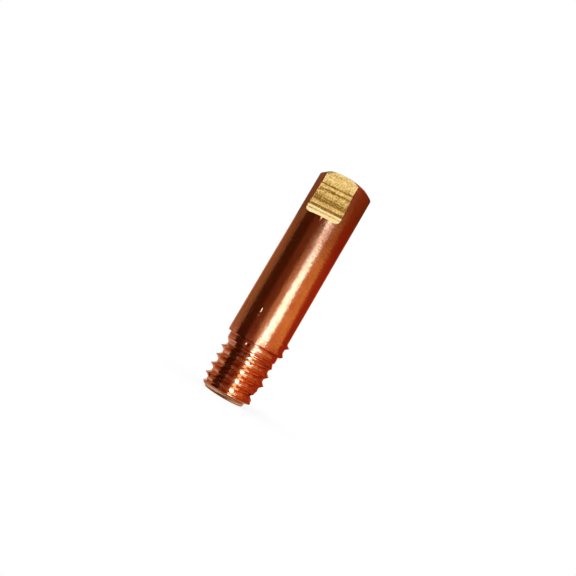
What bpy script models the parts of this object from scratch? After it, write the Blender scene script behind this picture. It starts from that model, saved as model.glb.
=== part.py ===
"""Welding contact tip with an M6 rolled thread, 25 mm long, turned from one copper rod.

The tip stands on its threaded rear face: Z runs along the wire bore towards the nose, with zero
at the rear face. The wrench flats face -Y and +Y. Lengths are in metres.
"""

import math

import bmesh
import bpy

MM = 0.001

# Turned blank
OVERALL_LENGTH = 25.0 * MM
BODY_DIAMETER = 6.0 * MM
SHOULDER_HEIGHT = 6.0 * MM
SHOULDER_ROUNDING = 0.07 * MM
NOSE_FACE_DIAMETER = 5.0 * MM
NOSE_BEVEL_LENGTH = 0.4 * MM
NOSE_FACE_ROUNDING = 0.3 * MM
NOSE_CORNER_ROUNDING = 0.06 * MM
NECK_DIAMETER = 5.48 * MM
NECK_LENGTH = 0.8 * MM
NECK_TAPER_ANGLE = math.radians(39)

# Rolled thread: right-handed, with a wide rounded root and a narrow crest
THREAD_PITCH = 1.0 * MM
THREAD_MAJOR_DIAMETER = 5.74 * MM
THREAD_DEPTH = 0.37 * MM
THREAD_MINOR_DIAMETER = THREAD_MAJOR_DIAMETER - 2 * THREAD_DEPTH
THREAD_ROOT_RADIUS = 0.29 * MM
THREAD_CREST_WIDTH = 0.08 * MM
THREAD_CREST_HEIGHT = 0.73 * MM
THREAD_FADE_LENGTH = 1.05 * MM
THREAD_FADE_ANGLE = math.radians(20)
REAR_FACE_DIAMETER = 4.3 * MM
REAR_CHAMFER_ANGLE = math.radians(40)

# The rolling dies left the neck and thread slightly out of line with the body
RUNOUT = 0.1 * MM
RUNOUT_DIRECTION = math.radians(15)

# Rolling burrs on the body: height above the shoulder and how far each stands proud
BURR_DIRECTION = math.radians(15)
BURR_EDGE_RADIUS = 2.2 * MM
BURR_THICKNESS = 0.42 * MM
BURR_DEPTH_SHARE = 2
BURRS = (
    ("shoulder_burr_upper", 1.3 * MM, 0.3 * MM),
    ("shoulder_burr_lower", 0.25 * MM, 0.21 * MM),
)

# Wrench flats milled at the nose
ACROSS_FLATS = 4.8 * MM
FLAT_LENGTH = 4.4 * MM
FLAT_CORNER_RADIUS = 0.45 * MM

# Wire bore, with a lead-in cone at the rear face
BORE_DIAMETER = 1.0 * MM
LEAD_IN_DIAMETER = 1.9 * MM
LEAD_IN_ANGLE = math.radians(30)

# How far a cutter or an inner end reaches past the surface it works on
OVERLAP = 0.4 * MM
WELD_DISTANCE = 0.001 * MM

BODY_STEPS = 96
BODY_RINGS = 4
THREAD_STEPS = 48
THREAD_ROOT_STEPS = 2
BORE_STEPS = 32
ROUNDING_STEPS = 4
SHARP_EDGE_ANGLE = math.radians(25)

COPPER_COLOUR = (0.72, 0.27, 0.12, 1.0)
COPPER_ROUGHNESS = 0.3


def clear_scene():
    """Remove every object that the file starts with."""
    for obj in list(bpy.data.objects):
        bpy.data.objects.remove(obj, do_unlink=True)


def new_collection(name):
    """Make a collection under the scene's own."""
    collection = bpy.data.collections.new(name)
    bpy.context.scene.collection.children.link(collection)
    return collection


def new_object(name, mesh, collection):
    """Put a mesh in the scene as a named object."""
    obj = bpy.data.objects.new(name, mesh)
    collection.objects.link(obj)
    return obj


def hide_tool(obj):
    """Mark an object as one that only shapes another."""
    obj.hide_render = True
    obj.display_type = "WIRE"
    return obj


def copper_material():
    """The rod's drawn and tumbled copper."""
    material = bpy.data.materials.new("copper")
    material.use_nodes = True
    shader = material.node_tree.nodes["Principled BSDF"]
    shader.inputs["Base Color"].default_value = COPPER_COLOUR
    shader.inputs["Metallic"].default_value = 1.0
    shader.inputs["Roughness"].default_value = COPPER_ROUGHNESS
    return material


def rounded_corner(before, corner, after, radius):
    """Points of the arc that rounds one corner of an outline of (radius, height) points."""
    in_x, in_z = before[0] - corner[0], before[1] - corner[1]
    out_x, out_z = after[0] - corner[0], after[1] - corner[1]
    in_length, out_length = math.hypot(in_x, in_z), math.hypot(out_x, out_z)
    in_x, in_z, out_x, out_z = in_x / in_length, in_z / in_length, out_x / out_length, out_z / out_length
    half_angle = math.acos(in_x * out_x + in_z * out_z) / 2
    setback = radius / math.tan(half_angle)
    middle_x, middle_z = in_x + out_x, in_z + out_z
    reach = radius / math.sin(half_angle) / math.hypot(middle_x, middle_z)
    centre = (corner[0] + middle_x * reach, corner[1] + middle_z * reach)
    start = (corner[0] + in_x * setback, corner[1] + in_z * setback)
    end = (corner[0] + out_x * setback, corner[1] + out_z * setback)
    first = math.atan2(start[1] - centre[1], start[0] - centre[0])
    sweep = math.atan2(end[1] - centre[1], end[0] - centre[0]) - first
    sweep = math.remainder(sweep, 2 * math.pi)
    angles = [first + sweep * step / ROUNDING_STEPS for step in range(ROUNDING_STEPS + 1)]
    return [(centre[0] + radius * math.cos(a), centre[1] + radius * math.sin(a)) for a in angles]


def outline_mesh(name, points):
    """A chain of edges through (radius, height) points in the XZ plane."""
    mesh = bpy.data.meshes.new(name)
    vertices = [(x, 0, z) for x, z in points]
    edges = [(index, index + 1) for index in range(len(points) - 1)]
    mesh.from_pydata(vertices, edges, [])
    return mesh


def turned(name, points, steps, collection):
    """Revolve an outline, given from the top of the axis down its outer side, about Z."""
    obj = new_object(name, outline_mesh(name, points), collection)
    screw = obj.modifiers.new("turn", "SCREW")
    screw.axis = "Z"
    screw.angle = 2 * math.pi
    screw.steps = steps
    screw.render_steps = steps
    screw.use_merge_vertices = True
    screw.merge_threshold = WELD_DISTANCE
    screw.use_smooth_shade = True
    return obj


def combine(target, tool, operation, solver="EXACT"):
    """Add a Boolean of the tool to the target."""
    boolean = target.modifiers.new(tool.name, "BOOLEAN")
    boolean.operation = operation
    boolean.solver = solver
    boolean.object = tool
    return boolean


def realised_mesh(obj):
    """The mesh that an object's modifiers make."""
    depsgraph = bpy.context.evaluated_depsgraph_get()
    return bpy.data.meshes.new_from_object(obj.evaluated_get(depsgraph), depsgraph=depsgraph)


def body_blank(collection):
    """The plain rod from its shoulder to the bevelled nose."""
    radius = BODY_DIAMETER / 2
    nose_radius = NOSE_FACE_DIAMETER / 2
    bevel_foot = OVERALL_LENGTH - NOSE_BEVEL_LENGTH
    nose_centre = (0, OVERALL_LENGTH)
    nose_edge = (nose_radius, OVERALL_LENGTH)
    bevel_edge = (radius, bevel_foot)
    shoulder_edge = (radius, SHOULDER_HEIGHT)
    shoulder_centre = (0, SHOULDER_HEIGHT)
    points = [nose_centre]
    points += rounded_corner(nose_centre, nose_edge, bevel_edge, NOSE_FACE_ROUNDING)
    points += rounded_corner(nose_edge, bevel_edge, shoulder_edge, NOSE_CORNER_ROUNDING)
    for ring in range(1, BODY_RINGS + 1):
        share = ring / (BODY_RINGS + 1)
        points.append((radius, bevel_foot + (SHOULDER_HEIGHT - bevel_foot) * share))
    points += rounded_corner(bevel_edge, shoulder_edge, shoulder_centre, SHOULDER_ROUNDING)
    points += [shoulder_centre]
    return turned("contact_tip", points, BODY_STEPS, collection)


def neck(tools):
    """The unrolled stretch of thread blank under the shoulder, which tapers in under the roots."""
    neck_foot = SHOULDER_HEIGHT - NECK_LENGTH
    sunk_radius = THREAD_MINOR_DIAMETER / 2 - OVERLAP
    taper_foot = neck_foot - (NECK_DIAMETER / 2 - sunk_radius) / math.tan(NECK_TAPER_ANGLE)
    points = [
        (0, SHOULDER_HEIGHT + OVERLAP),
        (NECK_DIAMETER / 2, SHOULDER_HEIGHT + OVERLAP),
        (NECK_DIAMETER / 2, neck_foot),
        (sunk_radius, taper_foot),
        (0, taper_foot),
    ]
    obj = turned("neck", points, THREAD_STEPS, tools)
    obj.location = runout_offset()
    return hide_tool(obj)


def runout_offset():
    """Where the axis of the neck and thread lies beside the body's axis."""
    return (RUNOUT * math.cos(RUNOUT_DIRECTION), RUNOUT * math.sin(RUNOUT_DIRECTION), 0)


def thread_outline():
    """One pitch of thread, from the root above the crest down to the root below it.

    Each flank is the straight line from the crest's edge that just touches the root's arc.
    """
    major, minor = THREAD_MAJOR_DIAMETER / 2, THREAD_MINOR_DIAMETER / 2
    half_pitch = THREAD_PITCH / 2
    crest = THREAD_CREST_WIDTH / 2
    out, along = minor + THREAD_ROOT_RADIUS - major, half_pitch - crest
    flank_angle = math.atan2(out, along) + math.acos(THREAD_ROOT_RADIUS / math.hypot(out, along))
    arc_turn = math.pi / 2 - flank_angle
    upper = []
    for step in range(THREAD_ROOT_STEPS + 1):
        turn = arc_turn * step / THREAD_ROOT_STEPS
        depth = minor + THREAD_ROOT_RADIUS * (1 - math.cos(turn))
        upper.append((depth, half_pitch - THREAD_ROOT_RADIUS * math.sin(turn)))
    upper.append((major, crest))
    lower = [(x, -z) for x, z in reversed(upper)]
    return upper + lower


def cap_thread(mesh):
    """Weld the turns of a swept thread together and close both ends onto its axis."""
    work = bmesh.new()
    work.from_mesh(mesh)
    bmesh.ops.remove_doubles(work, verts=work.verts, dist=WELD_DISTANCE)
    open_edges = {edge for edge in work.edges if edge.is_boundary}
    while open_edges:
        loop = [open_edges.pop()]
        reached = set(loop[0].verts)
        grew = True
        while grew:
            found = [edge for edge in open_edges if reached & set(edge.verts)]
            grew = bool(found)
            for edge in found:
                open_edges.discard(edge)
                reached |= set(edge.verts)
                loop.append(edge)
        centre = work.verts.new((0, 0, sum(vertex.co.z for vertex in reached) / len(reached)))
        for edge in loop:
            work.faces.new((edge.verts[0], edge.verts[1], centre))
    bmesh.ops.recalc_face_normals(work, faces=work.faces)
    work.to_mesh(mesh)
    work.free()


def thread(tools):
    """The rolled thread, swept past both ends and trimmed to the turned envelope."""
    turns_below = math.ceil(THREAD_CREST_HEIGHT / THREAD_PITCH) + 1
    turns = turns_below + math.ceil((SHOULDER_HEIGHT + OVERLAP) / THREAD_PITCH) + 1
    base = THREAD_CREST_HEIGHT - turns_below * THREAD_PITCH
    guide = new_object("thread_guide", outline_mesh("thread_guide", thread_outline()), tools)
    screw = guide.modifiers.new("roll", "SCREW")
    screw.axis = "Z"
    screw.angle = 2 * math.pi
    screw.screw_offset = THREAD_PITCH
    screw.iterations = turns
    screw.steps = THREAD_STEPS
    screw.render_steps = THREAD_STEPS
    mesh = realised_mesh(guide)
    bpy.data.objects.remove(guide)
    cap_thread(mesh)
    rolled = new_object("thread", mesh, tools)
    side_x, side_y, _ = runout_offset()
    rolled.location = (side_x, side_y, base)
    # The exact solver leaves this one trim open at some shoulder heights
    combine(rolled, thread_envelope(tools), "INTERSECT", solver="MANIFOLD")
    return hide_tool(rolled)


def thread_envelope(tools):
    """What the thread is trimmed to: the rear chamfer, and the cone where the thread fades out."""
    rear_radius = REAR_FACE_DIAMETER / 2
    outer_radius = THREAD_MAJOR_DIAMETER / 2 + RUNOUT + OVERLAP
    inner_radius = THREAD_MINOR_DIAMETER / 2 - OVERLAP / 2
    chamfer_top = (outer_radius - rear_radius) / math.tan(REAR_CHAMFER_ANGLE)
    fade_foot = SHOULDER_HEIGHT - NECK_LENGTH - THREAD_FADE_LENGTH
    fade_slope = math.tan(THREAD_FADE_ANGLE)
    fade_start = fade_foot - (outer_radius - THREAD_MAJOR_DIAMETER / 2) / fade_slope
    fade_end = fade_foot + (THREAD_MAJOR_DIAMETER / 2 - inner_radius) / fade_slope
    points = [
        (0, fade_end),
        (inner_radius, fade_end),
        (outer_radius, fade_start),
        (outer_radius, chamfer_top),
        (rear_radius, 0),
        (0, 0),
    ]
    return hide_tool(turned("thread_envelope", points, BODY_STEPS, tools))


def burr(name, above_shoulder, proud, tools):
    """A sharp-edged ridge that stands out of one side of the body and fades into it both ways.

    It is a thin double cone set off the axis, so only the edge on its own side reaches out.
    """
    half = BURR_THICKNESS / 2
    shift = BODY_DIAMETER / 2 + proud - BURR_EDGE_RADIUS
    hub_radius = BURR_EDGE_RADIUS - proud * BURR_DEPTH_SHARE
    points = [(0, half), (hub_radius, half), (BURR_EDGE_RADIUS, 0), (hub_radius, -half), (0, -half)]
    obj = turned(name, points, THREAD_STEPS, tools)
    obj.location = (
        shift * math.cos(BURR_DIRECTION),
        shift * math.sin(BURR_DIRECTION),
        SHOULDER_HEIGHT + above_shoulder,
    )
    return hide_tool(obj)


def wrench_flat_cutter(tools):
    """A block for each flat, with its lower inner edge rounded as the milling cutter's corner."""
    floor = ACROSS_FLATS / 2
    reach = BODY_DIAMETER - floor
    low = OVERALL_LENGTH - FLAT_LENGTH - FLAT_CORNER_RADIUS
    high = OVERALL_LENGTH + OVERLAP
    mesh = bpy.data.meshes.new("wrench_flat_cutter")
    work = bmesh.new()
    bmesh.ops.create_cube(work, size=1)
    bmesh.ops.scale(work, vec=(BODY_DIAMETER + OVERLAP, reach, high - low), verts=work.verts)
    bmesh.ops.translate(work, vec=(0, floor + reach / 2, (high + low) / 2), verts=work.verts)
    weight = work.edges.layers.float.new("bevel_weight_edge")
    for edge in work.edges:
        inner = all(vertex.co.y < floor + reach / 2 for vertex in edge.verts)
        lower = all(vertex.co.z < (high + low) / 2 for vertex in edge.verts)
        if inner and lower:
            edge[weight] = 1.0
    work.to_mesh(mesh)
    work.free()
    obj = new_object("wrench_flat_cutter", mesh, tools)
    corner = obj.modifiers.new("corner", "BEVEL")
    corner.limit_method = "WEIGHT"
    corner.width = FLAT_CORNER_RADIUS
    corner.segments = ROUNDING_STEPS
    pair = obj.modifiers.new("both_sides", "MIRROR")
    pair.use_axis = (False, True, False)
    pair.use_mirror_merge = False
    return hide_tool(obj)


def bore_cutter(tools):
    """The wire bore and its lead-in cone, reaching past both end faces."""
    bore_radius = BORE_DIAMETER / 2
    mouth_radius = LEAD_IN_DIAMETER / 2
    slope = math.tan(LEAD_IN_ANGLE)
    cone_top = (mouth_radius - bore_radius) / slope
    points = [
        (0, OVERALL_LENGTH + OVERLAP),
        (bore_radius, OVERALL_LENGTH + OVERLAP),
        (bore_radius, cone_top),
        (mouth_radius + OVERLAP * slope, -OVERLAP),
        (0, -OVERLAP),
    ]
    return hide_tool(turned("bore_cutter", points, BORE_STEPS, tools))


def finish(obj, material):
    """Bake the modifiers, clean the seams the Booleans leave and shade the round surfaces."""
    mesh = realised_mesh(obj)
    obj.modifiers.clear()
    obj.data = mesh
    work = bmesh.new()
    work.from_mesh(mesh)
    bmesh.ops.triangulate(work, faces=work.faces)
    bmesh.ops.dissolve_degenerate(work, edges=work.edges, dist=WELD_DISTANCE)
    work.to_mesh(mesh)
    work.free()
    mesh.shade_smooth()
    mesh.set_sharp_from_angle(angle=SHARP_EDGE_ANGLE)
    mesh.materials.clear()
    mesh.materials.append(material)


def build():
    """Model the contact tip."""
    clear_scene()
    parts = new_collection("contact_tip")
    tools = new_collection("cutters")
    tip = body_blank(parts)
    combine(tip, neck(tools), "UNION")
    combine(tip, thread(tools), "UNION")
    for name, above_shoulder, proud in BURRS:
        combine(tip, burr(name, above_shoulder, proud, tools), "UNION")
    combine(tip, wrench_flat_cutter(tools), "DIFFERENCE")
    combine(tip, bore_cutter(tools), "DIFFERENCE")
    finish(tip, copper_material())


build()
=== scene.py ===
"""Looks of a copper welding contact tip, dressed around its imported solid.

The tip is one piece of drawn rod: a bevelled nose with two milled wrench flats, a plain body,
a turned neck and a rolled thread. It stands on its rear face at the origin and rises along Z.
Lengths are in metres and angles in radians unless a name says otherwise.
"""

from __future__ import annotations

import logging
import math
from dataclasses import dataclass, field
from enum import Enum, IntEnum

import bpy
import numpy as np
from mathutils import Matrix, Vector


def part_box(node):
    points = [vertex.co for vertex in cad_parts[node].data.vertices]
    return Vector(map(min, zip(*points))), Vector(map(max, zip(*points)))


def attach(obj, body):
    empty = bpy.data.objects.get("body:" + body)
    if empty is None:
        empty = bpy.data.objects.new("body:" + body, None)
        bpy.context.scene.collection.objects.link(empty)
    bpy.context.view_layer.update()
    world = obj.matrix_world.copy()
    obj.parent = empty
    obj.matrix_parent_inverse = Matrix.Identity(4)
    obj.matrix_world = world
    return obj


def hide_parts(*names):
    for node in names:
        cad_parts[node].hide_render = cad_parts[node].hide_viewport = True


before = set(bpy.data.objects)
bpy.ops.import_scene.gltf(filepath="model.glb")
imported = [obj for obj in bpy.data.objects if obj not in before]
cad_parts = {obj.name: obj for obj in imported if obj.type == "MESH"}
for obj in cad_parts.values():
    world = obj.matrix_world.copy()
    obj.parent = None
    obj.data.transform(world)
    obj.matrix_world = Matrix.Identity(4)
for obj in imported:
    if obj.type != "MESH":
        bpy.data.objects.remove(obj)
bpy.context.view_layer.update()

CAD_NODE = "contact_tip"
CAD_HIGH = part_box(CAD_NODE)[1]

MM = 0.001
TIP_LENGTH = CAD_HIGH.z
TIP_RADIUS = CAD_HIGH.y
# How far the middle of the tilted end face lies below the tip's full length
TILT_ROOM = 0.04 * MM
FACED_LENGTH = TIP_LENGTH - TILT_ROOM
# Directions about Z in degrees: to the right in the photo's view, and towards its camera
PHOTO_RIGHT = 14.65
PHOTO_FRONT = -75.35

Socket = bpy.types.NodeSocket
log = logging.getLogger("contact_tip")


class Zone(Enum):
    """The stretches of the tip's outline, from the wire bore's mouth round to the bore again."""

    BORE = "bore"
    NOSE = "nose"
    FLATS = "flats"
    BODY = "body"
    SHOULDER = "shoulder"
    THREAD = "thread"
    REAR = "rear"


class Surface(IntEnum):
    """The tip's finishes, in the order of its material slots."""

    DRAWN = 0
    MILLED = 1
    TURNED = 2
    ROLLED = 3
    # Darker copper on the crest tops and the shoulder's corner: painted shade
    CREST = 4


class Light(Enum):
    """How a milling pass leans, in degrees, and how much painted highlight and painted shade goes into
    its colour, from -1 to 1.
    """

    LEVEL = (0, 0.0)
    DIM = (-1, -0.38)
    SOFT = (3, -0.2)
    GLINT = (9, 0.55)
    SHADE = (-3, -0.5)
    DEEP = (-3, -0.95)
    DARK = (-10, -0.95)

    @property
    def lean(self) -> float:
        """The slope that the pass leans by."""
        return math.tan(math.radians(self.value[0]))

    @property
    def painted_shading(self) -> float:
        """The painted highlight (above 0) and painted shade (below 0) in the pass's colour."""
        return self.value[1]


@dataclass(frozen=True)
class Ring:
    """One row of points round the tip.

    Args:
        radius: Distance from the bore's axis before any relief.
        height: Height above the rear face.
        zone: The stretch of the outline that the row belongs to.
    """

    radius: float
    height: float
    zone: Zone


def levels(first: float, last: float, step: float) -> list[float]:
    """Evenly spaced values, such as heights, radii or angles.

    Args:
        first: The value to start from.
        last: The value to end at.
        step: The widest spacing allowed.

    Returns:
        The values, both ends included.
    """
    count = max(1, math.ceil(abs(first - last) / step))
    return [first + (last - first) * index / count for index in range(count + 1)]


def rounded(before: tuple, corner: tuple, after: tuple, radius: float, steps: int) -> list[tuple]:
    """The arc that rounds one corner of an outline.

    Args:
        before: The (radius, height) point ahead of the corner.
        corner: The corner itself.
        after: The point behind the corner.
        radius: The arc's radius.
        steps: How many chords the arc has.

    Returns:
        The arc's (radius, height) points in order.
    """
    point = np.array(corner)
    inward = np.array(before) - point
    onward = np.array(after) - point
    inward = inward / np.linalg.norm(inward)
    onward = onward / np.linalg.norm(onward)
    half = math.acos(float(inward @ onward)) / 2
    middle = inward + onward
    centre = point + middle / np.linalg.norm(middle) * radius / math.sin(half)
    start = point + inward * radius / math.tan(half) - centre
    end = point + onward * radius / math.tan(half) - centre
    first = math.atan2(start[1], start[0])
    sweep = math.remainder(math.atan2(end[1], end[0]) - first, 2 * math.pi)
    turns = [first + sweep * index / steps for index in range(steps + 1)]
    return [(centre[0] + radius * math.cos(turn), centre[1] + radius * math.sin(turn)) for turn in turns]


def around(angles: np.ndarray, direction: float) -> np.ndarray:
    """How far each angle lies from a direction, the short way round."""
    return np.abs((angles - direction + math.pi) % (2 * math.pi) - math.pi)


def bell(distance: np.ndarray, reach: float) -> np.ndarray:
    """A smooth hump that is 1 at no distance and 0 from the reach on."""
    share = np.clip(np.abs(distance) / reach, 0.0, 1.0)
    return (1 - share**2) ** 2


class Nodes:
    """A node tree under construction: it adds nodes and links them."""

    def __init__(self, tree: bpy.types.NodeTree) -> None:
        """Take up a node tree."""
        self.tree = tree

    def add(self, kind: str, inputs: dict | None = None, **settings: object) -> bpy.types.Node:
        """Add a node.

        Args:
            kind: The node type's identifier, without its ShaderNode prefix.
            inputs: Values or sockets for the node's inputs, by name or number.
            settings: Properties of the node itself.

        Returns:
            The new node.
        """
        node = self.tree.nodes.new("ShaderNode" + kind)
        for key, value in settings.items():
            setattr(node, key, value)
        for key, value in (inputs or {}).items():
            if isinstance(value, Socket):
                self.tree.links.new(value, node.inputs[key])
            else:
                node.inputs[key].default_value = value
        return node

    def between(
        self,
        value: Socket,
        low: float,
        high: float,
        start: float,
        end: float,
        eased: bool = False,
    ) -> Socket:
        """Map a value from one range to another, clamped.

        Args:
            value: The socket to map.
            low: The value that gives the start.
            high: The value that gives the end.
            start: The result at the low end.
            end: The result at the high end.
            eased: Whether the result changes gently at both ends.

        Returns:
            The mapped value's socket.
        """
        inputs = {"Value": value, "From Min": low, "From Max": high, "To Min": start, "To Max": end}
        easing = "SMOOTHSTEP" if eased else "LINEAR"
        return self.add("MapRange", inputs, interpolation_type=easing).outputs["Result"]

    def seen(self) -> Socket:
        """A switch that is 1 for camera, glossy and transmission rays and 0 for the rest.

        Returns:
            The switch's socket.
        """
        path = self.add("LightPath")
        total = path.outputs["Is Camera Ray"]
        for name in ("Is Glossy Ray", "Is Transmission Ray"):
            total = self.add("Math", {0: total, 1: path.outputs[name]}, operation="MAXIMUM").outputs[0]
        return total


class NodeSheet(Nodes):
    """A material under construction, with its Principled shader."""

    def __init__(self, name: str) -> None:
        """Start a material.

        Args:
            name: The material's name.
        """
        self.material = bpy.data.materials.new(name)
        self.material.use_nodes = True
        super().__init__(self.material.node_tree)
        self.shader = self.tree.nodes["Principled BSDF"]

    def settle(self, constants: dict) -> None:
        """Set constants on the shader's own sockets."""
        for socket, value in constants.items():
            self.shader.inputs[socket].default_value = value

    def show(self, shader: bpy.types.Node) -> None:
        """Show another shader in place of the Principled one.

        Args:
            shader: The node that takes its place.
        """
        self.tree.nodes.remove(self.shader)
        output = self.tree.nodes["Material Output"]
        self.tree.links.new(shader.outputs[0], output.inputs["Surface"])

    def link(self, source: Socket, socket: str) -> None:
        """Feed one of the shader's sockets from another node."""
        self.tree.links.new(source, self.shader.inputs[socket])

    def stretched(self, scale: tuple[float, float, float]) -> Socket:
        """The point on the tip in millimetres, stretched along each axis.

        Args:
            scale: The factor along X, Y and Z, after the change to millimetres.

        Returns:
            The stretched position.
        """
        place = self.add("TexCoord").outputs["Object"]
        factors = tuple(factor / MM for factor in scale)
        return self.add("Mapping", {"Vector": place, "Scale": factors}).outputs["Vector"]

    def noise(
        self, scale: tuple[float, float, float], detail: float = 3.0, rough: float = 0.55
    ) -> Socket:
        """A noise pattern on the tip.

        Args:
            scale: How many features a millimetre has along X, Y and Z.
            detail: How many finer layers it has.
            rough: How strong the finer layers are.

        Returns:
            The noise value's socket.
        """
        place = self.stretched(scale)
        inputs = {"Vector": place, "Scale": 1.0, "Detail": detail, "Roughness": rough}
        return self.add("TexNoise", inputs).outputs["Fac"]

    def blend(self, share: Socket, first: object, second: object) -> Socket:
        """Mix two colours.

        Args:
            share: How much of the second colour shows.
            first: A colour or a colour's socket.
            second: A colour or a colour's socket.

        Returns:
            The mixed colour's socket.
        """
        return self.add("Mix", {0: share, 6: first, 7: second}, data_type="RGBA").outputs[2]

    def bump(
        self, height: Socket, depth: float, strength: object, under: object = None
    ) -> Socket:
        """Turn a height pattern into surface relief.

        Args:
            height: The pattern.
            depth: How deep it goes, in metres.
            strength: How much of it shows, as a number or a socket.
            under: The normal of the relief that lies under it.

        Returns:
            The normal's socket.
        """
        inputs = {"Height": height, "Distance": depth, "Strength": strength}
        if under is not None:
            inputs["Normal"] = under
        return self.add("Bump", inputs).outputs["Normal"]


@dataclass(frozen=True)
class DrawnCopper:
    """Drawn and tumbled copper: mottled, finely pitted and scratched along the rod."""

    name: str = "drawn_copper"
    colour: tuple = (0.80, 0.27, 0.095, 1.0)
    tarnish: tuple = (0.62, 0.15, 0.045, 1.0)
    edge_tint: tuple = (1.0, 0.62, 0.42, 1.0)
    smooth: float = 0.14
    dull: float = 0.25
    film: float = 0.2
    film_index: float = 1.5
    film_roughness: float = 0.3
    pitting: float = 0.012 * MM

    def material(self) -> bpy.types.Material:
        """Build the finish."""
        sheet = NodeSheet(self.name)
        sheet.settle({"Metallic": 1.0, "Specular Tint": self.edge_tint, "Coat Weight": self.film})
        sheet.settle({"Coat IOR": self.film_index, "Coat Roughness": self.film_roughness})
        mottle = sheet.noise((0.5, 0.5, 0.3), detail=4.0)
        grain = sheet.noise((4.5, 4.5, 4.0), detail=2.0, rough=0.5)
        streak = sheet.noise((7.0, 7.0, 0.8), detail=2.0)
        darker_copper = sheet.between(mottle, 0.42, 0.7, 0.0, 0.8)
        speckled = sheet.between(grain, 0.5, 0.75, 0.0, 0.45)
        colour = sheet.blend(darker_copper, self.colour, self.tarnish)
        sheet.link(sheet.blend(speckled, colour, self.tarnish), "Base Color")
        sheet.link(sheet.between(grain, 0.3, 0.7, self.smooth, self.dull), "Roughness")
        worn = sheet.between(sheet.noise((0.8, 0.8, 0.5), detail=2.0), 0.38, 0.62, 0.15, 1.0)
        pits = sheet.noise((6.0, 6.0, 5.0), detail=1.0, rough=0.5)
        relief = sheet.bump(streak, 0.002 * MM, 0.5)
        relief = sheet.bump(grain, 0.008 * MM, 1.0, relief)
        relief = sheet.bump(pits, self.pitting, worn, relief)
        sheet.link(relief, "Normal")
        return sheet.material


@dataclass(frozen=True)
class MilledCopper:
    """Freshly milled copper on the wrench flats: paler and yellower, torn across by the cutter."""

    colour: tuple = (1.0, 0.65, 0.19, 1.0)
    # shade and shine are the painted shade and painted highlight that each pass's value mixes into the
    # colour
    shade: tuple = (0.32, 0.145, 0.014, 1.0)
    shine: tuple = (1.0, 0.86, 0.50, 1.0)
    metal: float = 0.55
    specular: float = 0.2
    smooth: float = 0.36
    dull: float = 0.5
    unevenness: float = 1.7

    def material(self) -> bpy.types.Material:
        """Build the finish, from each pass's painted highlight and shade and the tears across it."""
        sheet = NodeSheet("milled_copper")
        sheet.settle({"Metallic": self.metal, "Specular IOR Level": self.specular})
        tear = sheet.noise((1.0, 1.0, 8.0), detail=4.0, rough=0.65)
        speckle = sheet.noise((6.0, 6.0, 6.0), detail=3.0)
        # Each point's painted highlight and shade, from its milling pass
        painted_shading = sheet.add("Attribute", attribute_name="painted_shading").outputs["Fac"]
        spread = self.unevenness / 2
        swing = sheet.between(tear, 0.2, 0.8, -0.6 * spread, 0.6 * spread)
        grit = sheet.between(speckle, 0.2, 0.8, -spread, spread)
        uneven = sheet.add("Math", {0: swing, 1: grit}, operation="ADD").outputs[0]
        total = sheet.add("Math", {0: painted_shading, 1: uneven}, operation="ADD").outputs[0]
        darker = sheet.between(total, 0.0, -1.0, 0.0, 1.0)
        brighter = sheet.between(total, 0.0, 1.0, 0.0, 1.0)
        colour = sheet.blend(darker, self.colour, self.shade)
        sheet.link(sheet.blend(brighter, colour, self.shine), "Base Color")
        sheet.link(sheet.between(speckle, 0.3, 0.7, self.smooth, self.dull), "Roughness")
        relief = sheet.bump(tear, 0.012 * MM, 0.5)
        relief = sheet.bump(speckle, 0.006 * MM, 0.25, relief)
        sheet.link(relief, "Normal")
        return sheet.material


@dataclass(frozen=True)
class TurnedCopper:
    """Lathe-cut copper on the end faces and in the bore: fine rings round the axis."""

    colour: tuple = (0.68, 0.25, 0.09, 1.0)
    dark: tuple = (0.42, 0.13, 0.04, 1.0)
    ring_spacing: float = 0.09 * MM
    roughness: float = 0.3

    def material(self) -> bpy.types.Material:
        """Build the finish."""
        sheet = NodeSheet("turned_copper")
        sheet.settle({"Metallic": 1.0, "Roughness": self.roughness})
        place = sheet.add("TexCoord").outputs["Object"]
        flattened = {0: place, 1: (1.0, 1.0, 0.0)}
        across = sheet.add("VectorMath", flattened, operation="MULTIPLY").outputs["Vector"]
        reach = sheet.add("VectorMath", {0: across}, operation="LENGTH").outputs["Value"]
        turn = 2 * math.pi / self.ring_spacing
        phase = sheet.add("Math", {0: reach, 1: turn}, operation="MULTIPLY").outputs[0]
        rings = sheet.add("Math", {0: phase}, operation="SINE").outputs[0]
        mottle = sheet.noise((1.6, 1.6, 1.6), detail=4.0)
        darkened = sheet.between(mottle, 0.4, 0.7, 0.0, 0.8)
        sheet.link(sheet.blend(darkened, self.colour, self.dark), "Base Color")
        sheet.link(sheet.bump(rings, 0.002 * MM, 0.5), "Normal")
        return sheet.material


@dataclass(frozen=True)
class MillingPass:
    """One strip that the cutter left across a wrench flat.

    Args:
        top: Height of its upper edge.
        light: How it leans, and the painted highlight and shade in its colour.
    """

    top: float
    light: Light


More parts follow.
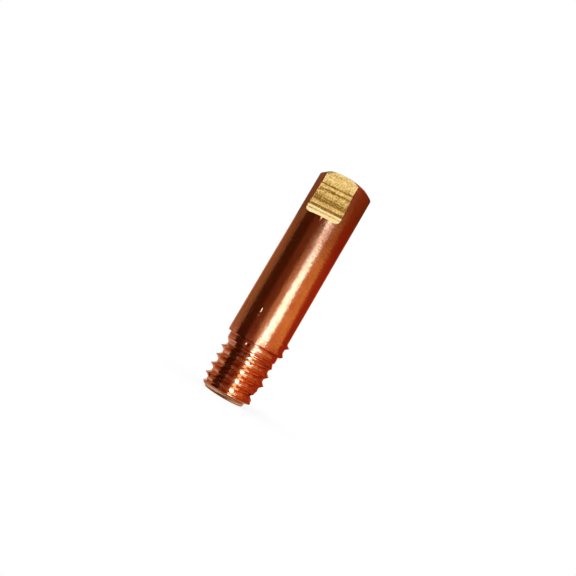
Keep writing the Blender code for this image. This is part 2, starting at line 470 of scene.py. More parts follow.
@dataclass
class WrenchFlats:
    """The two flats that a spanner grips, milled in uneven passes down to a rounded corner."""

    across: float = 4.85 * MM
    floor_foot: float = 20.56 * MM
    corner_radius: float = 0.48 * MM
    body_radius: float = TIP_RADIUS
    steepest_edge: float = math.radians(84)
    relaxing_corners: float = 3.0
    relaxing_share: float = 0.3
    rows_from: float = 24.56 * MM
    row_step: float = 0.055 * MM
    corner_rows: int = 14
    passes: tuple[MillingPass, ...] = tuple(
        MillingPass(top * MM, light)
        for top, light in (
            (25.00, Light.LEVEL),
            (23.80, Light.SOFT),
            (23.60, Light.DIM),
            (23.48, Light.DARK),
            (23.30, Light.SOFT),
            (22.99, Light.DARK),
            (22.76, Light.DIM),
            (22.60, Light.SOFT),
            (22.42, Light.SHADE),
            (22.10, Light.DEEP),
            (21.57, Light.DIM),
            (21.40, Light.SOFT),
            (21.20, Light.DARK),
            (20.90, Light.GLINT),
            (20.72, Light.SOFT),
        )
    )

    @property
    def ledge(self) -> float:
        """Height of the ledge under the flats."""
        return self.floor_foot - self.corner_radius

    def depth(self, height: float) -> float:
        """How far a flat lies from the axis.

        Args:
            height: Height above the rear face.

        Returns:
            The distance from the axis to the milled surface.
        """
        distance = self.across / 2
        ends = [strip.top for strip in self.passes[1:]] + [self.floor_foot]
        for strip, end in zip(self.passes, ends):
            drop = strip.top - max(height, end)
            if drop > 0:
                distance += drop * strip.light.lean
        if height < self.floor_foot:
            fall = min(self.floor_foot - height, self.corner_radius)
            distance += self.corner_radius - math.sqrt(self.corner_radius**2 - fall**2)
        return distance

    def painted_shading(self, height: float) -> float:
        """The painted highlight and shade of the pass at a height, with a painted highlight in the
        corner under the last.
        """
        if height < self.floor_foot:
            return Light.GLINT.painted_shading
        reached = [strip.light.painted_shading for strip in self.passes if strip.top >= height]
        return reached[-1] if reached else Light.LEVEL.painted_shading

    def edge_angle(self, radius: float, height: float) -> float:
        """Where a flat's side edge meets a row of the body.

        The rows follow the flat's outline, and relax to an even spacing away from it.

        Args:
            radius: The row's radius.
            height: The row's height.

        Returns:
            The edge's angle from the X axis.
        """
        even = math.asin(self.across / 2 / self.body_radius)
        at_ledge = math.asin(min(1.0, self.depth(self.ledge) / self.body_radius))
        # Below the ledge the columns spread back out to their even spacing
        if height < self.ledge:
            relaxed = min(1.0, (self.ledge - height) / (self.relaxing_corners * self.corner_radius))
            return at_ledge + (even - at_ledge) * relaxed
        share = self.depth(height) / radius
        if share < 1.0:
            return min(math.asin(share), self.steepest_edge)
        relaxed = min(1.0, (share - 1.0) / self.relaxing_share)
        return self.steepest_edge + (even - self.steepest_edge) * relaxed

    def heights(self) -> list[float]:
        """Levels of the rows over the flats, closer together in the corner."""
        plain = levels(self.rows_from, self.floor_foot, self.row_step)
        turns = [math.pi / 2 * index / self.corner_rows for index in range(1, self.corner_rows + 1)]
        return plain + [self.floor_foot - self.corner_radius * math.sin(turn) for turn in turns]

    def trim(
        self, radius: np.ndarray, angles: np.ndarray, height: float
    ) -> tuple[np.ndarray, np.ndarray]:
        """Cut both flats into one row of points.

        Args:
            radius: Radius of each point before the cut.
            angles: Angle of each point.
            height: The row's height.

        Returns:
            The radius after the cut, and which points lie on a flat.
        """
        reach = self.depth(height) / np.maximum(np.abs(np.sin(angles)), 1e-9)
        cut = reach <= radius + 1e-9
        return np.minimum(radius, reach), cut


@dataclass
class RollingBurrs:
    """Two sharp ridges thrown up beside the shoulder when the thread was rolled.

    Each ridge has a middle height, how far it stands proud and half its thickness.
    """

    direction: float = math.radians(PHOTO_RIGHT)
    spread: float = math.radians(42)
    sharpness: float = 1.3
    ridges: tuple[tuple[float, float, float], ...] = (
        (7.29 * MM, 0.37 * MM, 0.31 * MM),
        (6.25 * MM, 0.24 * MM, 0.36 * MM),
    )

    def relief(self, angles: np.ndarray, height: float) -> np.ndarray:
        """How far the ridges stand out of one row of the body."""
        relief = np.zeros_like(angles)
        fade = bell(around(angles, self.direction), self.spread)
        for middle, proud, half in self.ridges:
            slope = max(0.0, 1 - abs(height - middle) / half)
            relief = np.maximum(relief, proud * slope**self.sharpness * fade)
        return relief


@dataclass(frozen=True)
class Stroke:
    """One plain punched stroke.

    Args:
        direction: The angle that it is punched at.
        low: Height of its lower end.
        high: Height of its upper end.
    """

    direction: float
    low: float
    high: float


@dataclass(frozen=True)
class Nick:
    """One small dent, or a small burr where its depth is negative.

    Args:
        direction: The angle that it faces.
        height: Its height above the rear face.
        reach: Its radius.
        depth: How deep it goes.
    """

    direction: float
    height: float
    reach: float
    depth: float

    def relief(self, angles: np.ndarray, height: float, radius: float) -> np.ndarray:
        """How far the nick stands out of one row of points."""
        distance = np.hypot(around(angles, self.direction) * radius, height - self.height)
        return -self.depth * bell(distance, self.reach)


@dataclass
class PunchMarks:
    """Plain punched strokes low on the body."""

    width: float = 0.075 * MM
    sunk: float = 0.028 * MM
    lip_share: float = 0.5
    lip_away: float = 1.3
    lip_reach: float = 0.7
    body_radius: float = TIP_RADIUS
    strokes: tuple[Stroke, ...] = (
        Stroke(math.radians(PHOTO_FRONT - 61), 8.5 * MM, 9.5 * MM),
        Stroke(math.radians(PHOTO_FRONT - 39), 8.45 * MM, 8.9 * MM),
        Stroke(math.radians(PHOTO_FRONT - 19), 8.92 * MM, 9.42 * MM),
    )

    def relief(self, angles: np.ndarray, height: float) -> np.ndarray:
        """How the strokes sink into one row of the body, each with a raised lip round it."""
        relief = np.zeros_like(angles)
        for stroke in self.strokes:
            beside = around(angles, stroke.direction) * self.body_radius
            beyond = max(stroke.low - height, height - stroke.high, 0.0)
            distance = np.hypot(beside, beyond)
            relief = relief - self.sunk * bell(distance, self.width)
            lip = bell(distance - self.lip_away * self.width, self.lip_reach * self.width)
            relief = relief + self.lip_share * self.sunk * lip
        return relief


@dataclass
class RodBody:
    """The drawn rod from its bevelled nose down to the shoulder."""

    length: float = FACED_LENGTH
    radius: float = TIP_RADIUS
    nose_radius: float = 2.5 * MM
    nose_tilt: float = math.tan(math.radians(1.5))
    tilt_direction: float = math.radians(PHOTO_RIGHT)
    bevel_length: float = 0.4 * MM
    face_rounding: float = 0.3 * MM
    corner_rounding: float = 0.06 * MM
    shoulder: float = 6.0 * MM
    shoulder_rounding: float = 0.12 * MM
    foot_draw: float = 0.02 * MM
    foot_length: float = 0.9 * MM
    face_step: float = 0.3 * MM
    bevel_rows: int = 12
    ledge_drops: tuple = (0.0, 0.02 * MM, 0.06 * MM, 0.15 * MM)
    plain_drop: float = 0.3 * MM
    plain_foot: float = 9.8 * MM
    plain_step: float = 0.36 * MM
    marked_rows: tuple = (9.75 * MM, 8.2 * MM, 0.052 * MM)
    burred_top: float = 8.0 * MM
    burred_step: float = 0.047 * MM
    nicks: tuple[Nick, ...] = (
        Nick(math.radians(-88), 19.97 * MM, 0.2 * MM, -0.09 * MM),
        Nick(math.radians(-94.3), 8.6 * MM, 0.15 * MM, 0.06 * MM),
    )
    burrs: RollingBurrs = field(default_factory=RollingBurrs)
    marks: PunchMarks = field(default_factory=PunchMarks)
    flats: WrenchFlats = field(default_factory=WrenchFlats)

    def nose_rings(self, bore_radius: float) -> list[Ring]:
        """The rows of the end face, its rounding and the bevel.

        Args:
            bore_radius: Radius of the wire bore's mouth.

        Returns:
            The rows from the bore's mouth to the foot of the bevel.
        """
        mouth = (bore_radius, self.length)
        edge = (self.nose_radius, self.length)
        foot = (self.radius, self.length - self.bevel_length)
        below = (self.radius, self.shoulder)
        crown = rounded(mouth, edge, foot, self.face_rounding, 8)
        corner = rounded(edge, foot, below, self.corner_rounding, 4)
        face = levels(mouth[0], crown[0][0], self.face_step)[:-1]
        (near, high), (far, low) = crown[-1], corner[0]
        shares = [index / self.bevel_rows for index in range(1, self.bevel_rows)]
        bevel = [(near + (far - near) * share, high + (low - high) * share) for share in shares]
        points = [(radius, self.length) for radius in face] + crown + bevel + corner
        return [Ring(radius, height, Zone.NOSE) for radius, height in points]

    def body_rings(self) -> list[Ring]:
        """The rows down the flats, the plain body and the shoulder's corner."""
        rings = [Ring(self.radius, height, Zone.FLATS) for height in self.flats.heights()]
        ledge = self.flats.ledge
        heights = [ledge - drop for drop in self.ledge_drops]
        heights += levels(ledge - self.plain_drop, self.plain_foot, self.plain_step)
        heights += levels(*self.marked_rows)
        rounding_top = self.shoulder + self.shoulder_rounding
        heights += levels(self.burred_top, rounding_top, self.burred_step)[:-1]
        rings += [Ring(self.radius, height, Zone.BODY) for height in heights]
        above, corner = (self.radius, self.length), (self.radius, self.shoulder)
        bend = rounded(above, corner, (0.0, self.shoulder), self.shoulder_rounding, 4)
        return rings + [Ring(radius, height, Zone.SHOULDER) for radius, height in bend]

    def heights(self, ring: Ring, radius: np.ndarray, angles: np.ndarray) -> np.ndarray:
        """Height of each point of a row, with the end face slightly out of square."""
        if ring.zone is not Zone.NOSE:
            return np.full_like(angles, ring.height)
        share = 1 - (self.length - ring.height) / self.bevel_length
        tilted = self.nose_tilt * radius * np.cos(angles - self.tilt_direction)
        return ring.height - min(1.0, max(0.0, share)) * tilted

    def row(self, ring: Ring, angles: np.ndarray) -> tuple[np.ndarray, np.ndarray]:
        """Shape one row of the body.

        Args:
            ring: The row.
            angles: Angle of each point.

        Returns:
            The radius of each point, and which points lie on a flat.
        """
        radius = np.full_like(angles, ring.radius)
        if ring.zone in (Zone.BODY, Zone.SHOULDER):
            radius = radius + self.burrs.relief(angles, ring.height)
            radius = radius + self.marks.relief(angles, ring.height)
            above = (ring.height - self.shoulder) / self.foot_length
            radius = radius - self.foot_draw * max(0.0, 1 - above) ** 2
            for nick in self.nicks:
                radius = radius + nick.relief(angles, ring.height, self.radius)
        if ring.zone in (Zone.NOSE, Zone.FLATS):
            return self.flats.trim(radius, angles, ring.height)
        return radius, np.zeros(len(angles), bool)


@dataclass
class RolledThread:
    """The thread: thin crests over wide rounded roots, running out of true with the body."""

    pitch: float = 1.0 * MM
    major: float = 2.92 * MM
    minor: float = 2.50 * MM
    crest_cut: float = 0.96
    crest_spread: float = 0.38 * MM
    crest_sharpness: float = 1.3
    crest_band: float = 0.05 * MM
    crest_height: float = 0.76 * MM
    crest_runout: float = 0.077 * MM
    root_runout: float = 0.137 * MM
    neck_runout: float = 0.071 * MM
    runout_direction: float = math.radians(15)
    neck_radius: float = 2.742 * MM
    neck_top: float = 6.0 * MM
    neck_foot: float = 5.33 * MM
    neck_taper: float = 0.3 * MM
    neck_gap: float = 0.02 * MM
    neck_step: float = 0.05 * MM
    tool_lines: tuple = (5.88 * MM, 5.42 * MM)
    tool_line_reach: float = 0.07 * MM
    tool_line_depth: float = 0.035 * MM
    row_step: float = 0.0292 * MM
    fade_foot: float = 4.27 * MM
    fade_angle: float = math.radians(20)
    lip_heights: tuple = (0.0, 0.05 * MM, 0.15 * MM, 0.25 * MM, 0.40 * MM, 0.50 * MM, 1.0 * MM)
    lip_radii: tuple = (2.08 * MM, 2.12 * MM, 2.15 * MM, 2.18 * MM, 2.21 * MM, 2.39 * MM, 3.2 * MM)
    lip_bulge: float = 0.28 * MM
    lip_swell: float = 0.35 * MM
    lip_runout: float = -0.03 * MM
    nick: Nick = Nick(math.radians(-86.5), 5.66 * MM, 0.28 * MM, 0.09 * MM)
    chip_direction: float = math.radians(12)
    chip_height: float = 1.34 * MM
    chip_floor: float = 1.86 * MM
    chip_spread: float = math.radians(26)
    chip_slope: float = 1.05
    chip_curve: float = 0.5 * MM
    chip_end: float = 1.6

    @property
    def rear_radius(self) -> float:
        """Radius of the rear face's outer edge."""
        return self.lip_radii[0]

    def profile(self, offset: np.ndarray, swing: np.ndarray) -> np.ndarray:
        """The thread's section, whose roots ran further out of true than its crests.

        Args:
            offset: Distance along the axis from the middle of the nearest crest.
            swing: How far each point lies towards the runout, from -1 to 1.

        Returns:
            The radius about the body's axis.
        """
        root = self.minor + self.root_runout * swing
        crest = self.major + self.crest_runout * swing
        rise = np.maximum(0.0, 1 - offset / self.crest_spread) ** self.crest_sharpness
        return root + (crest - root) * np.minimum(rise, self.crest_cut)

    def offsets(self, height: float, angles: np.ndarray) -> np.ndarray:
        """How far above the middle of the nearest crest each point of a row lies."""
        crest = self.crest_height + self.pitch * angles / (2 * math.pi)
        return (height - crest + self.pitch / 2) % self.pitch - self.pitch / 2

    def crested(self, ring: Ring, angles: np.ndarray) -> np.ndarray:
        """Which points of a row lie on the top of a crest."""
        near = np.abs(self.offsets(ring.height, angles)) < self.crest_band
        return near & (self.row_step < ring.height) & (ring.height < self.neck_foot)

    def row(self, ring: Ring, angles: np.ndarray) -> tuple[np.ndarray, np.ndarray]:
        """Shape one row of the neck or thread.

        A point of the row that lies nearest a crest moves onto the crest, which keeps it even.

        Args:
            ring: The row.
            angles: Angle of each point.

        Returns:
            The radius of each point about the body's axis, and its height.
        """
        swing = np.cos(angles - self.runout_direction)
        offset = self.offsets(ring.height, angles)
        on_crest = (np.abs(offset) < self.row_step / 2) & (ring.height > self.row_step)
        height = np.where(on_crest, ring.height - offset, ring.height)
        offset = np.where(on_crest, 0.0, np.abs(offset))
        fallen = (height - self.fade_foot) * math.tan(self.fade_angle)
        fade = self.major + self.crest_runout * swing - fallen
        radius = np.minimum(self.profile(offset, swing), fade)
        radius = np.minimum(radius, self.lip(offset, height) + self.lip_runout * swing)
        radius = np.maximum(radius, self.neck(ring.height) + self.neck_runout * swing)
        radius = radius + self.nick.relief(angles, ring.height, self.neck_radius)
        return np.minimum(radius, self.chip(angles, height)), height

    def lip(self, offset: np.ndarray, height: np.ndarray) -> np.ndarray:
        """The rounded rear end, which the first crest pushed outwards where it starts."""
        swollen = np.clip(height / self.lip_swell, 0.0, 1.0)
        bulge = self.lip_bulge * bell(offset, self.pitch / 2) * swollen
        return np.interp(height, self.lip_heights, self.lip_radii) + bulge

    def neck(self, height: float) -> float:
        """Radius of the turned neck, with two tool lines round it."""
        if height < self.neck_foot - self.neck_taper:
            return 0.0
        lines = sum(max(0.0, 1 - abs(height - line) / self.tool_line_reach) for line in self.tool_lines)
        sunk = max(0.0, self.neck_foot - height) / self.neck_taper
        return self.neck_radius - self.tool_line_depth * lines - (self.neck_radius - self.minor) * sunk

    def chip(self, angles: np.ndarray, height: np.ndarray) -> np.ndarray:
        """The floor of a chip knocked out of the last crests on one side."""
        beside = around(angles, self.chip_direction) / self.chip_spread
        slope = self.chip_slope * np.abs(height - self.chip_height)
        floor = self.chip_floor + slope + self.chip_curve * beside**2
        return np.where(beside < self.chip_end, floor, np.inf)

    def rings(self) -> list[Ring]:
        """The rows from the shoulder's inner corner down to the rear face's edge."""
        heights = levels(self.neck_top, self.neck_foot + self.neck_gap, self.neck_step)
        heights += levels(self.neck_foot, self.row_step, self.row_step)
        return [Ring(self.neck_radius, height, Zone.THREAD) for height in heights]


@dataclass
class WireBore:
    """The wire's way through the tip: a drilled bore with a lead-in cone at the rear face."""

    radius: float = 0.5 * MM
    mouth_chamfer: float = 0.06 * MM
    lead_in_radius: float = 0.95 * MM
    lead_in_angle: float = math.radians(30)
    cone_shares: tuple = (0.04, 0.35, 0.7, 1.0)
    face_rounding: float = 0.03 * MM
    face_step: float = 0.3 * MM
    row_foot: float = 2 * MM
    row_step: float = 4 * MM
    top: float = FACED_LENGTH

    def rear_rings(self, rear_radius: float) -> list[Ring]:
        """The rows across the rear face and up the lead-in cone.

        Args:
            rear_radius: Radius of the rear face's outer edge.

        Returns:
            The rows from the rear face's edge to the cone's top.
        """
        outer, inner = rear_radius - self.face_rounding, self.lead_in_radius + self.face_rounding
        rings = [Ring(radius, 0.0, Zone.REAR) for radius in levels(outer, inner, self.face_step)]
        cone_top = (self.lead_in_radius - self.radius) / math.tan(self.lead_in_angle)
        for share in self.cone_shares:
            radius = self.lead_in_radius + (self.radius - self.lead_in_radius) * share
            rings.append(Ring(radius, cone_top * share, Zone.REAR))
        return rings

    def rings(self) -> list[Ring]:
        """The rows up the bore to its mouth."""
        heights = levels(self.row_foot, self.top - self.mouth_chamfer, self.row_step)
        return [Ring(self.radius, height, Zone.BORE) for height in heights]


@dataclass
class ContactTip:
    """The whole tip as one closed surface, with its rows of points in outline order."""

    body: RodBody = field(default_factory=RodBody)
    thread: RolledThread = field(default_factory=RolledThread)
    bore: WireBore = field(default_factory=WireBore)
    flat_columns: int = 48
    side_columns: int = 60
    crease: float = math.radians(28)
    rolled_colour: tuple = (0.85, 0.42, 0.20, 1.0)
    rolled_tarnish: tuple = (0.72, 0.27, 0.10, 1.0)
    # The darker copper of the crest tops and the shoulder's corner: painted shade
    painted_crest_shade: tuple = (0.55, 0.17, 0.06, 1.0)
    painted_crest_shade_mottle: tuple = (0.30, 0.07, 0.02, 1.0)

    def outline(self) -> list[Ring]:
        """Every row, from the bore's mouth down the outside and back up the bore."""
        rings = self.body.nose_rings(self.bore.radius + self.bore.mouth_chamfer)
        rings += self.body.body_rings()
        rings += self.thread.rings()
        rings += self.bore.rear_rings(self.thread.rear_radius)
        return rings + self.bore.rings()

    def columns(self, edge: float) -> np.ndarray:
        """Angles of a row's points, with a point on each side edge of both flats.

        Args:
            edge: Angle of the flat's edge from the X axis.

        Returns:
            The angles, once round from the first edge.
        """
        corners = (edge, math.pi - edge, math.pi + edge, 2 * math.pi - edge, 2 * math.pi + edge)
        counts = (self.flat_columns, self.side_columns, self.flat_columns, self.side_columns)
        spans = [
            np.linspace(start, end, count, endpoint=False)
            for start, end, count in zip(corners, corners[1:], counts)
        ]
        return np.concatenate(spans)

    def points(self, rings: list[Ring]) -> tuple[np.ndarray, np.ndarray, np.ndarray]:
        """Place every point of the surface.

        Args:
            rings: The rows in order.

        Returns:
            The points as rows by columns by coordinates, which of them lie on a flat, and which
            lie on a thread crest.
        """
        grid, milled, crested = [], [], []
        for ring in rings:
            angles = self.columns(self.body.flats.edge_angle(max(ring.radius, 1e-6), ring.height))
            on_flat = np.zeros(len(angles), bool)
            on_crest = np.zeros(len(angles), bool)
            height = np.full_like(angles, ring.height)
            if ring.zone is Zone.THREAD:
                radius, height = self.thread.row(ring, angles)
                on_crest = self.thread.crested(ring, angles)
            elif ring.zone in (Zone.REAR, Zone.BORE):
                radius = np.full_like(angles, ring.radius)
            else:
                radius, on_flat = self.body.row(ring, angles)
                height = self.body.heights(ring, radius, angles)
            grid.append(np.stack([radius * np.cos(angles), radius * np.sin(angles), height], axis=1))
            milled.append(on_flat)
            crested.append(on_crest)
        return np.array(grid), np.array(milled), np.array(crested)

    def build(self) -> bpy.types.Object:
        """Make the closed surface and name each face's finish.

        Returns:
            The tip's object.
        """
        rings = self.outline()
        grid, on_flat, on_crest = self.points(rings)
        rows, columns = on_flat.shape
        index = np.arange(rows * columns).reshape(rows, columns)
        down = np.roll(index, -1, axis=0)
        across = np.roll(index, -1, axis=1)
        faces = np.stack([index, down, np.roll(down, -1, axis=1), across], axis=2).reshape(-1, 4)
        mesh = bpy.data.meshes.new("contact_tip_surface")
        mesh.from_pydata(grid.reshape(-1, 3).tolist(), [], faces.tolist())
        # Each row's painted highlight and shade on the flats, kept on the points for the milled finish's
        # colour
        painted_shading = mesh.attributes.new("painted_shading", "FLOAT", "POINT")
        shades = [self.body.flats.painted_shading(ring.height) for ring in rings]
        painted_shading.data.foreach_set("value", np.repeat(shades, columns).astype(np.float32))
        zones = [ring.zone for ring in rings]
        turned = [zone in (Zone.REAR, Zone.BORE, Zone.NOSE) for zone in zones]
        kinds = np.where(np.repeat(turned, columns), Surface.TURNED, Surface.DRAWN)
        kinds = np.where(on_flat.reshape(-1)[faces].all(axis=1), Surface.MILLED, kinds)
        rolled = [ring.zone is Zone.THREAD and ring.height <= self.thread.neck_foot for ring in rings]
        kinds = np.where(np.repeat(rolled, columns), Surface.ROLLED, kinds)
        # The crest tops and the shoulder's corner get darker copper: painted shade along the crests and
        # in the corner
        darker_copper = on_crest | np.array([zone is Zone.SHOULDER for zone in zones])[:, None]
        kinds = np.where(darker_copper.reshape(-1)[faces].all(axis=1), Surface.CREST, kinds)
        mesh.polygons.foreach_set("material_index", kinds.astype(np.int32))
        self.shade(mesh, np.repeat([zone is Zone.THREAD for zone in zones], columns))
        tip = bpy.data.objects.new("contact_tip_surface", mesh)
        bpy.context.scene.collection.objects.link(tip)
        log.info("contact tip: %d rows, %d triangles", rows, 2 * len(faces))
        return tip

    def shade(self, mesh: bpy.types.Mesh, threaded: np.ndarray) -> None:
        """Shade the surface smooth, with creases kept everywhere but on the rolled thread.

        Args:
            mesh: The surface.
            threaded: Which points belong to the neck and thread.
        """
        mesh.shade_smooth()
        mesh.set_sharp_from_angle(angle=self.crease)
        ends = np.zeros(2 * len(mesh.edges), np.int32)
        mesh.edges.foreach_get("vertices", ends)
        ends = ends.reshape(-1, 2)
        sharp = np.zeros(len(mesh.edges), bool)
        creases = mesh.attributes["sharp_edge"].data
        creases.foreach_get("value", sharp)
        sharp &= ~threaded[ends].all(axis=1)
        creases.foreach_set("value", sharp)

    def dress(self, tip: bpy.types.Object) -> None:
        """Give the tip its finishes and set it in place of the plain solid."""
        finishes = {
            Surface.DRAWN: DrawnCopper(),
            Surface.MILLED: MilledCopper(),
            Surface.TURNED: TurnedCopper(),
            Surface.ROLLED: DrawnCopper(
                "rolled_copper",
                self.rolled_colour,
                self.rolled_tarnish,
                smooth=0.1,
                dull=0.16,
                film=0.1,
                pitting=0.006 * MM,
            ),
            # Darker copper for the crest tops and the shoulder's corner: painted shade
            Surface.CREST: DrawnCopper(
                "crest_painted_shade", self.painted_crest_shade, self.painted_crest_shade_mottle, smooth=0.12, dull=0.22, film=0.05
            ),
        }
        for kind in Surface:
            tip.data.materials.append(finishes[kind].material())
        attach(tip, "root")
        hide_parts(CAD_NODE)


@dataclass
class PhotoCamera:
    """The photograph's camera: level with the lower body, looking slightly up, rolled to one side."""

    focal_in_frames: float = 600 / 576
    distance: float = 61.14 * MM
    aim_height: float = 12.615 * MM
    aim_side: float = 0.115 * MM
    look_up: float = math.radians(5.78)
    turn: float = math.radians(PHOTO_RIGHT)
    roll: float = math.radians(30.35)
    sensor: float = 36.0

    def axes(self) -> tuple[Vector, Vector, Vector]:
        """The camera's right, up and forward directions before its roll."""
        right = Vector((math.cos(self.turn), math.sin(self.turn), 0.0))
        level = Vector((-math.sin(self.turn), math.cos(self.turn), 0.0))
        rise = Vector((0.0, 0.0, 1.0))
        forward = math.cos(self.look_up) * level + math.sin(self.look_up) * rise
        up = math.cos(self.look_up) * rise - math.sin(self.look_up) * level
        return right, up, forward

    def build(self) -> None:
        """Place the camera and make it the scene's."""
        right, up, forward = self.axes()
        target = Vector((0.0, 0.0, self.aim_height)) + self.aim_side * right
        rolled_right = math.cos(self.roll) * right + math.sin(self.roll) * up
        rolled_up = math.cos(self.roll) * up - math.sin(self.roll) * right
        data = bpy.data.cameras.new("photo_camera")
        data.sensor_width = self.sensor
        data.lens = self.sensor * self.focal_in_frames
        data.clip_start = 1 * MM
        camera = bpy.data.objects.new("photo_camera", data)
        turn = Matrix((rolled_right, rolled_up, -forward)).transposed().to_4x4()
        camera.matrix_world = Matrix.Translation(target - self.distance * forward) @ turn
        bpy.context.scene.collection.objects.link(camera)
        bpy.context.scene.camera = camera
        log.info("camera: %.0f mm lens, %.1f mm away", data.lens, self.distance / MM)


class Tone(Enum):
    """The reflector cards' shades, as the light that each gives back."""

    WHITE = (2.8, 5.8, 10.8)
    SILVER = (0.58, 0.45, 0.26)
    PALE = (0.80, 0.84, 0.96)
    BLUSH = (0.68, 0.58, 0.82)
    GREY = (0.34, 0.27, 0.20)
    BLACK = (0.062, 0.023, 0.006)
    UMBER = (0.15, 0.06, 0.018)
    PLUM = (0.17, 0.055, 0.03)
    AMBER = (0.78, 0.56, 0.30)
    RUST = (0.72, 0.26, 0.12)
    CRIMSON = (0.36, 0.06, 0.03)
    ROSE = (0.62, 0.66, 0.92)
    PEACH = (0.95, 0.80, 0.95)


class Tier(Enum):
    """The outlines that the cards follow, as (radius, height) points in millimetres."""

    SHADOW = ((0.05, 0.02), (2.215, 0.02))
    MAT = ((2.215, 0.02), (2.75, 0.02))
    APRON = ((2.75, 0.02), (3.4, 0.02))
    FLOOR = ((3.4, 0.02), (110, 0.02), (110, 3))
    SWEEP = ((110, 3), (110, 14), (110, 22), (110, 32), (110, 43))
    RIM = ((110, 43), (110, 47.5))
    COLLAR = ((110, 47.5), (110, 62))
    WALL = ((110, 62), (110, 95))
    SLOPE = ((110, 95), (62, 130), (45, 131.5))
    FLASH = ((104, 92), (84, 108))
    CAP = ((45, 131.5), (6, 135))
    PEAK = ((6, 135), (0.05, 135))


@dataclass(frozen=True)
class Card:
    """One reflector card, bent round the tip at one tier.

    Args:
        start: Angle of its first side from the camera, positive to the right, in degrees.
        end: Angle of its other side.
        tone: Its shade.
        tier: The outline that it follows.
        share: How much of the shade it gives.
        fade: The part of that which is left above the sweep's fade.
        lean: How far its first and other side turn back by the sweep's upper edge, in degrees.
    """

    start: float
    end: float
    tone: Tone
    tier: Tier = Tier.SWEEP
    share: float = 1.0
    fade: float = 1.0
    lean: tuple[float, float] = (0.0, 0.0)


def band(tier: Tier, start: float, *sides: tuple) -> tuple[Card, ...]:
    """One tier's cards, each of which starts where the last one ends.

    Args:
        tier: The outline that they follow.
        start: Angle of the first card's first side.
        sides: Each card's other side, its tone and, where it isn't whole, its share.

    Returns:
        The cards in order.
    """
    cards = []
    for end, tone, *share in sides:
        cards.append(Card(start, end, tone, tier, *share))
        start = end
    return tuple(cards)


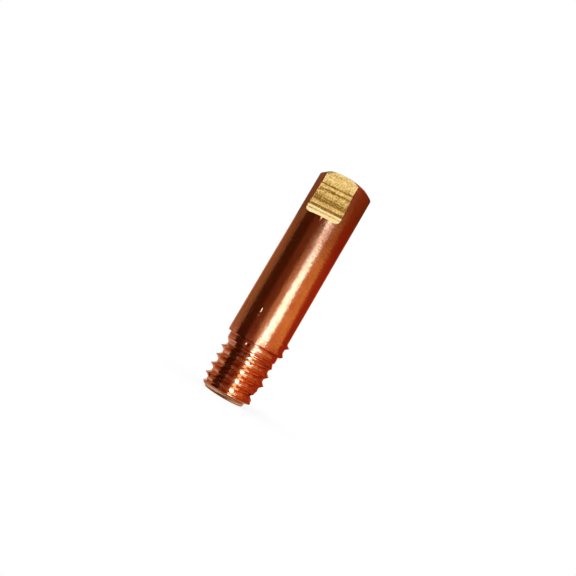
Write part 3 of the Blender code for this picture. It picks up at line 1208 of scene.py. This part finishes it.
@dataclass
class Studio:
    """A white turntable in a white room, with curved cards round the tip and a soft lamp."""

    front: float = math.radians(PHOTO_FRONT)
    room_white: tuple = (1.0, 1.0, 1.0, 1.0)
    room_light: float = 0.7
    floor_radius: float = 26 * MM
    floor_sides: int = 96
    floor_paint: tuple = (0.8, 0.8, 0.8, 1.0)
    floor_white: float = 0.88
    floor_white_from: float = 2.5 * MM
    floor_white_to: float = 11 * MM
    fade_from: float = 25 * MM
    fade_to: float = 44 * MM
    arc_step: float = 4.0
    cards: tuple[Card, ...] = (
        Card(-180, -150, Tone.PALE),
        Card(-150, -108, Tone.GREY, fade=0.8),
        Card(-108, -90, Tone.GREY, share=0.72, fade=0.8),
        Card(-90, -44, Tone.BLACK, fade=0.6),
        Card(-44, -12, Tone.UMBER),
        Card(-12, 11.5, Tone.SILVER, fade=0.25, lean=(0, -3)),
        Card(11.5, 43.5, Tone.WHITE, fade=0.12, lean=(-3, 10)),
        Card(43.5, 109, Tone.AMBER, fade=0.47, lean=(10, 37)),
        Card(109, 158, Tone.CRIMSON, fade=0.75, lean=(37, 0)),
        Card(158, 180, Tone.AMBER, share=0.8),
        *band(
            Tier.SHADOW,
            -180,
            (8, Tone.GREY, 0.42),
            (26, Tone.GREY, 0.65),
            (70, Tone.GREY),
            (180, Tone.GREY, 0.42),
        ),
        *band(Tier.MAT, -180, (180, Tone.ROSE)),
        *band(Tier.APRON, -180, (180, Tone.BLACK)),
        *band(
            Tier.FLOOR,
            -180,
            (-150, Tone.PALE),
            (-86, Tone.BLUSH, 0.9),
            (-41, Tone.BLACK, 0.8),
            (-35, Tone.BLUSH, 0.4),
            (-10, Tone.PLUM, 1.6),
            (4, Tone.RUST, 0.5),
            (20, Tone.WHITE, 0.85),
            (66, Tone.RUST),
            (158, Tone.CRIMSON),
            (180, Tone.AMBER, 0.8),
        ),
        *band(
            Tier.RIM,
            -180,
            (-90, Tone.GREY, 0.6),
            (-44, Tone.BLACK, 0.7),
            (15, Tone.UMBER),
            (34, Tone.PEACH),
            (72, Tone.AMBER, 0.45),
            (180, Tone.CRIMSON, 0.8),
        ),
        *band(
            Tier.COLLAR,
            -180,
            (-90, Tone.GREY, 0.6),
            (6, Tone.UMBER),
            (21, Tone.WHITE),
            (180, Tone.UMBER),
        ),
        *band(
            Tier.WALL,
            -180,
            (-90, Tone.BLUSH),
            (-44, Tone.BLACK),
            (-12, Tone.PLUM),
            (5, Tone.RUST, 0.5),
            (18, Tone.WHITE, 1.6),
            (60, Tone.RUST, 0.8),
            (180, Tone.CRIMSON, 1.3),
        ),
        *band(
            Tier.SLOPE,
            -180,
            (-44, Tone.BLACK),
            (6, Tone.PLUM),
            (19, Tone.WHITE, 1.5),
            (70, Tone.RUST, 0.8),
            (180, Tone.CRIMSON, 1.2),
        ),
        *band(Tier.FLASH, -33, (-25, Tone.PALE, 1.3)),
        *band(Tier.CAP, -180, (-44, Tone.BLACK), (12, Tone.UMBER), (180, Tone.AMBER, 2.4)),
        *band(Tier.PEAK, -180, (180, Tone.UMBER)),
    )

    def card(self, name: str, card: Card) -> None:
        """Stand one card on its arc.

        Args:
            name: The card's name.
            card: Its sides, shade and tier.
        """
        points, faces = [], []
        turns = levels(card.start, card.end, self.arc_step)
        size = len(card.tier.value)
        for turn in turns:
            along = (turn - card.start) / (card.end - card.start)
            lean = card.lean[0] + (card.lean[1] - card.lean[0]) * along
            for radius, height in card.tier.value:
                leaned = lean * min(1.0, height * MM / self.fade_to)
                bearing = self.front + math.radians(turn - leaned)
                spot = (radius * math.cos(bearing), radius * math.sin(bearing), height)
                points.append(tuple(part * MM for part in spot))
        for column in range(len(turns) - 1):
            for row in range(size - 1):
                first = column * size + row
                faces.append((first, first + 1, first + size + 1, first + size))
        mesh = bpy.data.meshes.new(name)
        mesh.from_pydata(points, [], faces)
        mesh.materials.append(self.glow(name, card))
        obj = bpy.data.objects.new(name, mesh)
        bpy.context.scene.collection.objects.link(obj)
        obj.visible_camera = False
        obj.visible_diffuse = False
        obj.visible_shadow = False

    def glow(self, name: str, card: Card) -> bpy.types.Material:
        """The material of a lit card, which fades towards its upper edge.

        Args:
            name: The material's name.
            card: The card's shade, share and fade.

        Returns:
            The material.
        """
        sheet = NodeSheet(name)
        full = max(card.tone.value)
        colour = (*(part / full for part in card.tone.value), 1.0)
        place = sheet.add("TexCoord").outputs["Object"]
        height = sheet.add("SeparateXYZ", {0: place}).outputs["Z"]
        low, high = full * card.share, full * card.share * card.fade
        strength = sheet.between(height, self.fade_from, self.fade_to, low, high, eased=True)
        sheet.show(sheet.add("Emission", {"Color": colour, "Strength": strength}))
        return sheet.material

    def room(self) -> None:
        """The white room: plain white where it is seen, softer where it lights the floor."""
        world = bpy.data.worlds.new("white_room")
        world.use_nodes = True
        nodes = Nodes(world.node_tree)
        background = nodes.tree.nodes["Background"]
        background.inputs["Color"].default_value = self.room_white
        strength = nodes.between(nodes.seen(), 0.0, 1.0, self.room_light, 1.0)
        nodes.tree.links.new(strength, background.inputs["Strength"])
        bpy.context.scene.world = world

    def floor(self) -> None:
        """The round white turntable, which keeps a faint shadow."""
        bpy.ops.mesh.primitive_circle_add(
            vertices=self.floor_sides, radius=self.floor_radius, fill_type="NGON"
        )
        floor = bpy.context.object
        floor.name = "turntable"
        sheet = NodeSheet("turntable_white")
        paint = sheet.add("BsdfDiffuse", {"Color": self.floor_paint}).outputs[0]
        white = sheet.add("Emission").outputs[0]
        place = sheet.add("TexCoord").outputs["Object"]
        reach = sheet.add("VectorMath", {0: place}, operation="LENGTH").outputs["Value"]
        start, end = self.floor_white_from, self.floor_white_to
        whiter = sheet.between(reach, start, end, self.floor_white, 1.0, eased=True)
        share = sheet.add("Math", {0: sheet.seen(), 1: whiter}, operation="MULTIPLY").outputs[0]
        sheet.show(sheet.add("MixShader", {0: share, 1: paint, 2: white}))
        floor.data.materials.append(sheet.material)

    def lamp(self, name: str, turn: float, rise: float, reach: float, size: float, power: float) -> None:
        """Hang one soft lamp that faces the tip.

        Args:
            name: The lamp's name.
            turn: Its angle from the camera, positive to the right, in degrees.
            rise: Its elevation, in degrees.
            reach: Its distance from the middle of the tip.
            size: The side of its square face.
            power: Its output in watts.
        """
        data = bpy.data.lights.new(name, "AREA")
        data.size = size
        data.energy = power
        lamp = bpy.data.objects.new(name, data)
        bearing, tilt = self.front + math.radians(turn), math.radians(rise)
        level = math.cos(tilt)
        away = Vector((level * math.cos(bearing), level * math.sin(bearing), math.sin(tilt)))
        middle = Vector((0.0, 0.0, TIP_LENGTH / 2))
        lamp.location = middle + reach * away
        lamp.rotation_euler = (-away).to_track_quat("-Z", "Y").to_euler()
        # The cards are what the metal mirrors, so the lamp itself stays out of its reflections
        lamp.visible_glossy = False
        bpy.context.scene.collection.objects.link(lamp)

    def build(self) -> None:
        """Set up the room, the turntable, the cards and the lamp."""
        self.room()
        self.floor()
        for index, card in enumerate(self.cards):
            self.card(f"{card.tier.name.lower()}_{index}_{card.tone.name.lower()}", card)
        self.lamp("key_lamp", turn=-29, rise=46, reach=95 * MM, size=90 * MM, power=0.08)
        log.info("studio: %d cards and a key lamp", len(self.cards))


def main() -> None:
    """Build the studio, the camera and the tip."""
    logging.basicConfig(level=logging.INFO, format="%(name)s: %(message)s")
    bpy.context.scene.view_settings.view_transform = "Standard"
    PhotoCamera().build()
    Studio().build()
    tip = ContactTip()
    tip.dress(tip.build())


if __name__ == "__main__":
    main()
